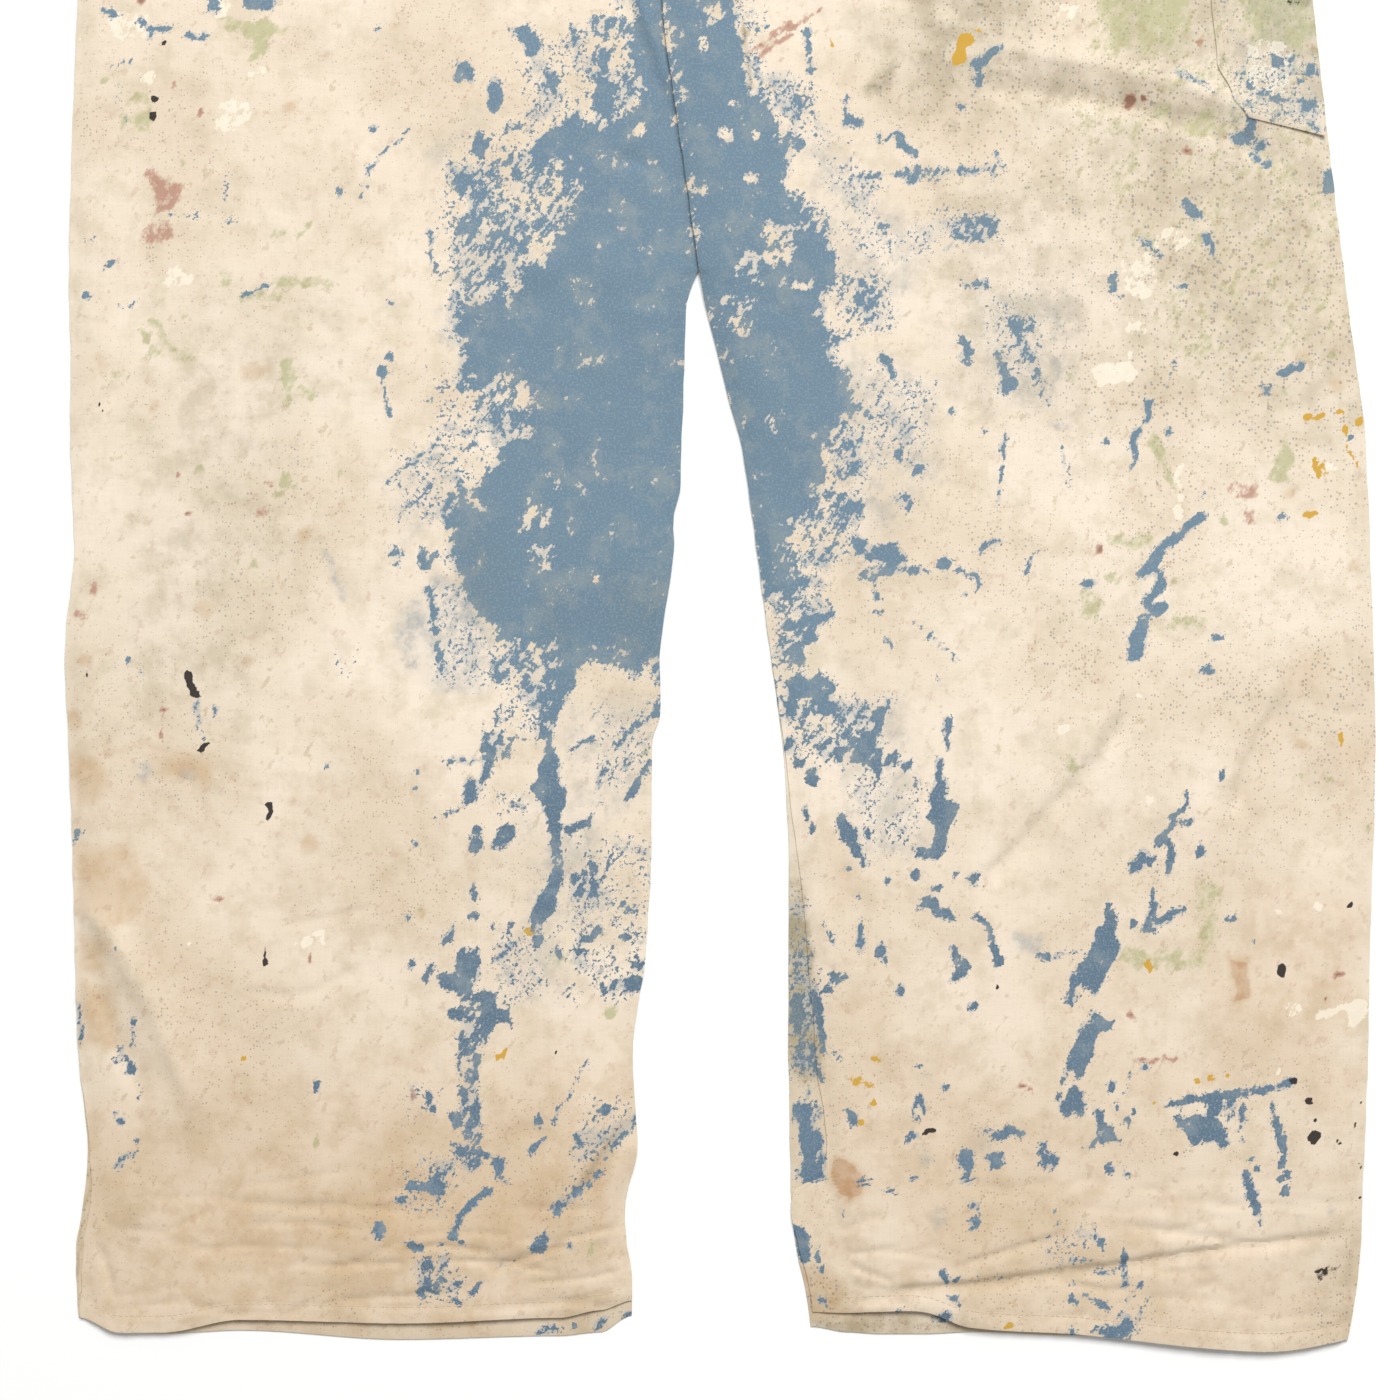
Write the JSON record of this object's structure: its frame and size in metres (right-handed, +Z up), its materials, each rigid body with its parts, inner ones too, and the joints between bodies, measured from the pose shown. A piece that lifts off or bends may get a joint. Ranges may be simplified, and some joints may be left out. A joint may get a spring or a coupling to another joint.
{
  "type": "paint spattered bib overalls",
  "caption": "Bib overalls laid flat on their back: straight legs, tool pocket, waistband, bib, upper back and folded-over button straps, in worn cotton drill spattered with paint.",
  "frame": {"origin": "middle of the whole garment's outline, on the floor it lies on", "axes": "+X to the viewer's right over the wearer's left leg, +Y from the hems to the bib, +Z up from the floor"},
  "size_m": [0.7082, 1.4358, 0.011],
  "materials": {
    "drill": "matt, worn, paint spattered",
    "drill_back": "matt, worn, stained",
    "button": "satin"
  },
  "bodies": {
    "root": {"leg_back_right": "drill_back", "leg_back_left": "drill_back", "leg_front_right": "drill", "leg_front_left": "drill", "tool_pocket": "drill", "waistband": "drill", "bib": "drill", "upper_back": "drill_back", "strap_right": "drill", "strap_button_right": "button", "side_button_right_1": "button", "side_button_right_2": "button", "strap_left": "drill", "strap_button_left": "button", "side_button_left_1": "button", "side_button_left_2": "button"}
  },
  "joints": []
}
